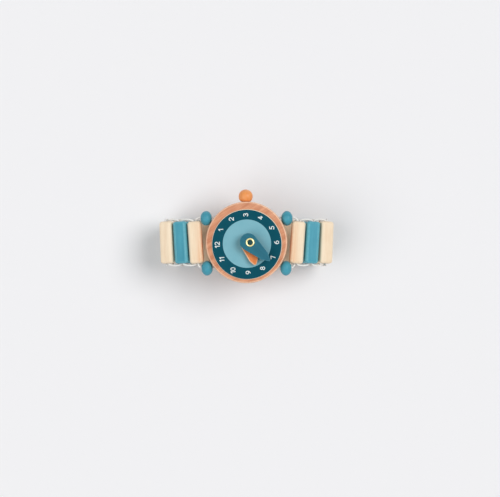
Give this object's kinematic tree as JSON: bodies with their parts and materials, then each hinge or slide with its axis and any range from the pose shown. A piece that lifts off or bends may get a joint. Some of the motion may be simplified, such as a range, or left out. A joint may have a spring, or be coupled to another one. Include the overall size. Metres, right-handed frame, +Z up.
{
  "type": "toy watch",
  "caption": "Wooden toy watch: round case with a numbered dial, turning hands and a ball crown, on a springy strap of slats threaded on elastic.",
  "frame": {"origin": "middle of the outer face of the middle back slat, on which the watch lies, straight below the middle of the case", "axes": "+Z up out of the dial, +Y from the middle of the case to the crown, +X along the strap towards the six o'clock side"},
  "size_m": [0.0828, 0.0443, 0.0344],
  "materials": {
    "salmon_wood": "stained beech, matt, turned smooth",
    "plain_wood": "pale bare beech, sanded smooth",
    "teal_wood": "teal stain, satin",
    "deep_teal_wood": "darker teal stain, matt",
    "orange_wood": "orange stain, satin",
    "printed_card": "matt print in dark teal and light blue",
    "fibre": "pressed fibre",
    "brass": "bright rolled brass",
    "white_elastic": "braided elastic"
  },
  "bodies": {
    "case_group": {"case": "salmon_wood", "dial": "printed_card", "crown_ball": "orange_wood", "crown_peg": "plain_wood", "dial_washer": "fibre", "hand_washer": "fibre", "eyelet": "brass", "back_washer": "brass", "elastic_cord": "white_elastic"},
    "hour_hand": {"hour_hand": "orange_wood"},
    "minute_hand": {"minute_hand": "deep_teal_wood"},
    "bead_upper_right": {"bead_upper_right": "teal_wood"},
    "bead_lower_right": {"bead_lower_right": "teal_wood"},
    "bead_upper_left": {"bead_upper_left": "teal_wood"},
    "bead_lower_left": {"bead_lower_left": "teal_wood"},
    "slat_right_1": {"slat_right_1": "plain_wood"},
    "slat_right_2": {"slat_right_2": "teal_wood"},
    "slat_right_3": {"slat_right_3": "plain_wood"},
    "slat_right_4": {"slat_right_4": "teal_wood"},
    "slat_right_5": {"slat_right_5": "plain_wood"},
    "slat_right_6": {"slat_right_6": "teal_wood"},
    "slat_right_7": {"slat_right_7": "plain_wood"},
    "slat_right_8": {"slat_right_8": "teal_wood"},
    "slat_right_9": {"slat_right_9": "plain_wood"},
    "slat_left_1": {"slat_left_1": "plain_wood"},
    "slat_left_2": {"slat_left_2": "teal_wood"},
    "slat_left_3": {"slat_left_3": "plain_wood"},
    "slat_left_4": {"slat_left_4": "teal_wood"},
    "slat_left_5": {"slat_left_5": "plain_wood"},
    "slat_left_6": {"slat_left_6": "teal_wood"},
    "slat_left_7": {"slat_left_7": "plain_wood"},
    "slat_left_8": {"slat_left_8": "teal_wood"},
    "slat_left_9": {"slat_left_9": "plain_wood"},
    "slat_middle": {"slat_middle": "teal_wood"}
  },
  "joints": [
    {"name": "hour_hand_turn", "type": "hinge", "parent": "case_group", "child": "hour_hand", "pos_m": [0.0017, 0, 0.03062], "axis": [0, 0, 1], "continuous": true},
    {"name": "minute_hand_turn", "type": "hinge", "parent": "case_group", "child": "minute_hand", "pos_m": [0.0017, 0, 0.03292], "axis": [0, 0, 1], "continuous": true},
    {"name": "bead_upper_right_turn", "type": "hinge", "parent": "case_group", "child": "bead_upper_right", "pos_m": [0.01912, 0.0114, 0.02482], "axis": [1, 0, 0], "continuous": true},
    {"name": "bead_lower_right_turn", "type": "hinge", "parent": "case_group", "child": "bead_lower_right", "pos_m": [0.01866, -0.0122, 0.02482], "axis": [1, 0, 0], "continuous": true},
    {"name": "bead_upper_left_turn", "type": "hinge", "parent": "case_group", "child": "bead_upper_left", "pos_m": [-0.01912, 0.0114, 0.02482], "axis": [1, 0, 0], "continuous": true},
    {"name": "bead_lower_left_turn", "type": "hinge", "parent": "case_group", "child": "bead_lower_left", "pos_m": [-0.01866, -0.0122, 0.02482], "axis": [1, 0, 0], "continuous": true},
    {"name": "hinge_right_1", "type": "hinge", "parent": "case_group", "child": "slat_right_1", "pos_m": [0.0205, 0, 0.02482], "axis": [0, 1, 0], "range_deg": [0, 15.6], "stiffness_Nm_per_rad": 0.012, "springref_deg": -11.46},
    {"name": "hinge_right_2", "type": "hinge", "parent": "slat_right_1", "child": "slat_right_2", "pos_m": [0.02756, 0, 0.02389], "axis": [0, 1, 0], "range_deg": [0, 12.1], "stiffness_Nm_per_rad": 0.012, "springref_deg": -11.46},
    {"name": "hinge_right_3", "type": "hinge", "parent": "slat_right_2", "child": "slat_right_3", "pos_m": [0.03442, 0, 0.02231], "axis": [0, 1, 0], "range_deg": [0, 3.8], "stiffness_Nm_per_rad": 0.012, "springref_deg": -11.46},
    {"name": "hinge_right_4", "type": "hinge", "parent": "slat_right_3", "child": "slat_right_4", "pos_m": [0.03929, 0, 0.01698], "axis": [0, -1, 0], "range_deg": [0, 37.1], "stiffness_Nm_per_rad": 0.012, "springref_deg": -11.46, "deforming": ["elastic_cord"]},
    {"name": "hinge_right_5", "type": "hinge", "parent": "slat_right_4", "child": "slat_right_5", "pos_m": [0.03743, 0, 0.00942], "axis": [0, -1, 0], "range_deg": [0, 22.7], "stiffness_Nm_per_rad": 0.012, "springref_deg": -11.46},
    {"name": "hinge_right_6", "type": "hinge", "parent": "slat_right_5", "child": "slat_right_6", "pos_m": [0.03145, 0, 0.00466], "axis": [0, 1, 0], "range_deg": [0, 3.3], "stiffness_Nm_per_rad": 0.012, "springref_deg": -11.46},
    {"name": "hinge_right_7", "type": "hinge", "parent": "slat_right_6", "child": "slat_right_7", "pos_m": [0.02442, 0, 0.00297], "axis": [0, 1, 0], "range_deg": [0, 10.4], "stiffness_Nm_per_rad": 0.012, "springref_deg": -11.46},
    {"name": "hinge_right_8", "type": "hinge", "parent": "slat_right_7", "child": "slat_right_8", "pos_m": [0.0174, 0, 0.0025], "axis": [0, 1, 0], "range_deg": [0, 8.6], "stiffness_Nm_per_rad": 0.012, "springref_deg": -11.46},
    {"name": "hinge_right_9", "type": "hinge", "parent": "slat_right_8", "child": "slat_right_9", "pos_m": [0.01044, 0, 0.0025], "axis": [0, 1, 0], "range_deg": [0, 4.8], "stiffness_Nm_per_rad": 0.012, "springref_deg": -11.46},
    {"name": "hinge_left_1", "type": "hinge", "parent": "case_group", "child": "slat_left_1", "pos_m": [-0.0205, 0, 0.02482], "axis": [0, -1, 0], "range_deg": [0, 15.6], "stiffness_Nm_per_rad": 0.012, "springref_deg": -11.46},
    {"name": "hinge_left_2", "type": "hinge", "parent": "slat_left_1", "child": "slat_left_2", "pos_m": [-0.02756, 0, 0.02389], "axis": [0, -1, 0], "range_deg": [0, 12.1], "stiffness_Nm_per_rad": 0.012, "springref_deg": -11.46},
    {"name": "hinge_left_3", "type": "hinge", "parent": "slat_left_2", "child": "slat_left_3", "pos_m": [-0.03442, 0, 0.02231], "axis": [0, -1, 0], "range_deg": [0, 3.8], "stiffness_Nm_per_rad": 0.012, "springref_deg": -11.46},
    {"name": "hinge_left_4", "type": "hinge", "parent": "slat_left_3", "child": "slat_left_4", "pos_m": [-0.03929, 0, 0.01698], "axis": [0, 1, 0], "range_deg": [0, 37.1], "stiffness_Nm_per_rad": 0.012, "springref_deg": -11.46},
    {"name": "hinge_left_5", "type": "hinge", "parent": "slat_left_4", "child": "slat_left_5", "pos_m": [-0.03743, 0, 0.00942], "axis": [0, 1, 0], "range_deg": [0, 22.7], "stiffness_Nm_per_rad": 0.012, "springref_deg": -11.46},
    {"name": "hinge_left_6", "type": "hinge", "parent": "slat_left_5", "child": "slat_left_6", "pos_m": [-0.03145, 0, 0.00466], "axis": [0, -1, 0], "range_deg": [0, 3.3], "stiffness_Nm_per_rad": 0.012, "springref_deg": -11.46},
    {"name": "hinge_left_7", "type": "hinge", "parent": "slat_left_6", "child": "slat_left_7", "pos_m": [-0.02442, 0, 0.00297], "axis": [0, -1, 0], "range_deg": [0, 10.4], "stiffness_Nm_per_rad": 0.012, "springref_deg": -11.46},
    {"name": "hinge_left_8", "type": "hinge", "parent": "slat_left_7", "child": "slat_left_8", "pos_m": [-0.0174, 0, 0.0025], "axis": [0, -1, 0], "range_deg": [0, 8.6], "stiffness_Nm_per_rad": 0.012, "springref_deg": -11.46},
    {"name": "hinge_left_9", "type": "hinge", "parent": "slat_left_8", "child": "slat_left_9", "pos_m": [-0.01044, 0, 0.0025], "axis": [0, -1, 0], "range_deg": [0, 4.8], "stiffness_Nm_per_rad": 0.012, "springref_deg": -11.46},
    {"name": "hinge_middle", "type": "hinge", "parent": "slat_left_9", "child": "slat_middle", "pos_m": [-0.00348, 0, 0.0025], "axis": [0, -1, 0], "range_deg": [0, 1.4], "stiffness_Nm_per_rad": 0.012, "springref_deg": -11.46}
  ],
  "couplings": [
    {"joint": "hinge_right_1", "follows": "hinge_right_4", "ratio": 0.4204},
    {"joint": "hinge_right_2", "follows": "hinge_right_4", "ratio": 0.3242},
    {"joint": "hinge_right_3", "follows": "hinge_right_4", "ratio": 0.1021},
    {"joint": "hinge_right_5", "follows": "hinge_right_4", "ratio": 0.6116},
    {"joint": "hinge_right_6", "follows": "hinge_right_4", "ratio": 0.087},
    {"joint": "hinge_right_7", "follows": "hinge_right_4", "ratio": 0.2801},
    {"joint": "hinge_right_8", "follows": "hinge_right_4", "ratio": 0.2315},
    {"joint": "hinge_right_9", "follows": "hinge_right_4", "ratio": 0.129},
    {"joint": "hinge_left_1", "follows": "hinge_right_4", "ratio": 0.4204},
    {"joint": "hinge_left_2", "follows": "hinge_right_4", "ratio": 0.3242},
    {"joint": "hinge_left_3", "follows": "hinge_right_4", "ratio": 0.1021},
    {"joint": "hinge_left_4", "follows": "hinge_right_4", "ratio": 1},
    {"joint": "hinge_left_5", "follows": "hinge_right_4", "ratio": 0.6116},
    {"joint": "hinge_left_6", "follows": "hinge_right_4", "ratio": 0.087},
    {"joint": "hinge_left_7", "follows": "hinge_right_4", "ratio": 0.2801},
    {"joint": "hinge_left_8", "follows": "hinge_right_4", "ratio": 0.2315},
    {"joint": "hinge_left_9", "follows": "hinge_right_4", "ratio": 0.129},
    {"joint": "hinge_middle", "follows": "hinge_right_4", "ratio": 0.0373}
  ]
}
